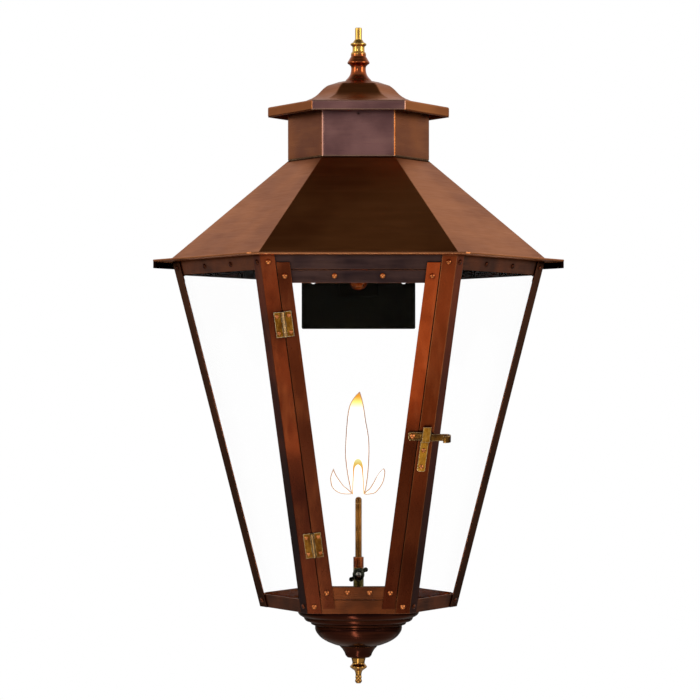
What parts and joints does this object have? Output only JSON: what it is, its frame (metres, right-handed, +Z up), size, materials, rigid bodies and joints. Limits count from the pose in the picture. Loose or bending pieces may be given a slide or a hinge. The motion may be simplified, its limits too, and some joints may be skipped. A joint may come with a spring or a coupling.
{
  "type": "wall-hung gas lantern",
  "caption": "Hexagonal copper wall lantern for gas, with tapered glazed frame, hinged and latched door, hipped roof, vented collar and cap, spun bowl, burner and wall bracket.",
  "frame": {"origin": "middle of the wall plate's back face, where it meets the wall", "axes": "+Z up, +Y into the wall, -Y out of the door towards the viewer, +X to the viewer's right"},
  "size_m": [0.4608, 0.4076, 0.7355],
  "materials": {
    "dark_copper": "satin",
    "aged_copper": "satin",
    "bright_copper": "polished",
    "gilt_brass": "polished",
    "aged_brass": "satin",
    "burner_brass": "satin",
    "dark_bronze": "satin",
    "copper_pipe": "satin",
    "black_steel": "matte",
    "clear_glass": "clear"
  },
  "bodies": {
    "frame": {"top_finial": "gilt_brass", "finial_rod": "burner_brass", "rod_nut": "burner_brass", "cap": "dark_copper", "cap_spacer": "burner_brass", "cap_strap": "aged_copper", "collar": "dark_copper", "roof": "dark_copper", "roof_brim": "dark_copper", "head_band": "aged_copper", "post_front_right": "aged_copper", "post_right": "aged_copper", "post_rear_right": "aged_copper", "post_rear_left": "aged_copper", "post_left": "aged_copper", "post_front_left": "aged_copper", "foot_band": "aged_copper", "base_plate": "aged_copper", "frame_rivets": "bright_copper", "pane_clips": "aged_copper", "glass_front_right": "clear_glass", "glass_rear_right": "clear_glass", "glass_rear": "clear_glass", "glass_rear_left": "clear_glass", "glass_front_left": "clear_glass", "bowl": "dark_copper", "bowl_stud": "burner_brass", "bottom_finial": "gilt_brass", "wall_plate": "black_steel", "bracket_arm": "black_steel", "hanger_ear": "aged_copper", "hanger_washer": "bright_copper", "hanger_bolt": "bright_copper", "hanger_nut": "bright_copper", "upper_post_leaf": "aged_brass", "lower_post_leaf": "aged_brass", "hinge_pins": "aged_brass", "keeper": "aged_brass", "keeper_rivets": "bright_copper", "manifold": "burner_brass", "manifold_nut": "burner_brass", "supply_pipe": "copper_pipe", "flare_nut": "burner_brass", "valve_body": "burner_brass", "burner_socket": "burner_brass", "burner_tube": "burner_brass", "burner_tip": "burner_brass"},
    "door": {"door_stile_hinge": "aged_copper", "door_stile_latch": "aged_copper", "door_rail_upper": "aged_copper", "door_rail_lower": "aged_copper", "door_glass": "clear_glass", "door_clips": "aged_copper", "door_rivets": "bright_copper", "upper_door_leaf": "aged_brass", "lower_door_leaf": "aged_brass", "latch_pivot": "bright_copper"},
    "latch": {"latch_bar": "aged_brass"},
    "key": {"valve_key": "dark_bronze", "key_screw": "burner_brass"}
  },
  "joints": [
    {"name": "door_hinge", "type": "hinge", "parent": "frame", "child": "door", "pos_m": [-0.07911, -0.37314, -0.03362], "axis": [0.1234, 0.2137, -0.9691], "range_deg": [0, 135]},
    {"name": "latch_swing", "type": "hinge", "parent": "door", "child": "latch", "pos_m": [0.05777, -0.34536, -0.15218], "axis": [0, -0.9765, -0.2154], "range_deg": [0, 90]},
    {"name": "key_turn", "type": "hinge", "parent": "frame", "child": "key", "pos_m": [0, -0.20672, -0.3105], "axis": [0, 1, 0], "range_deg": [0, 90]}
  ]
}
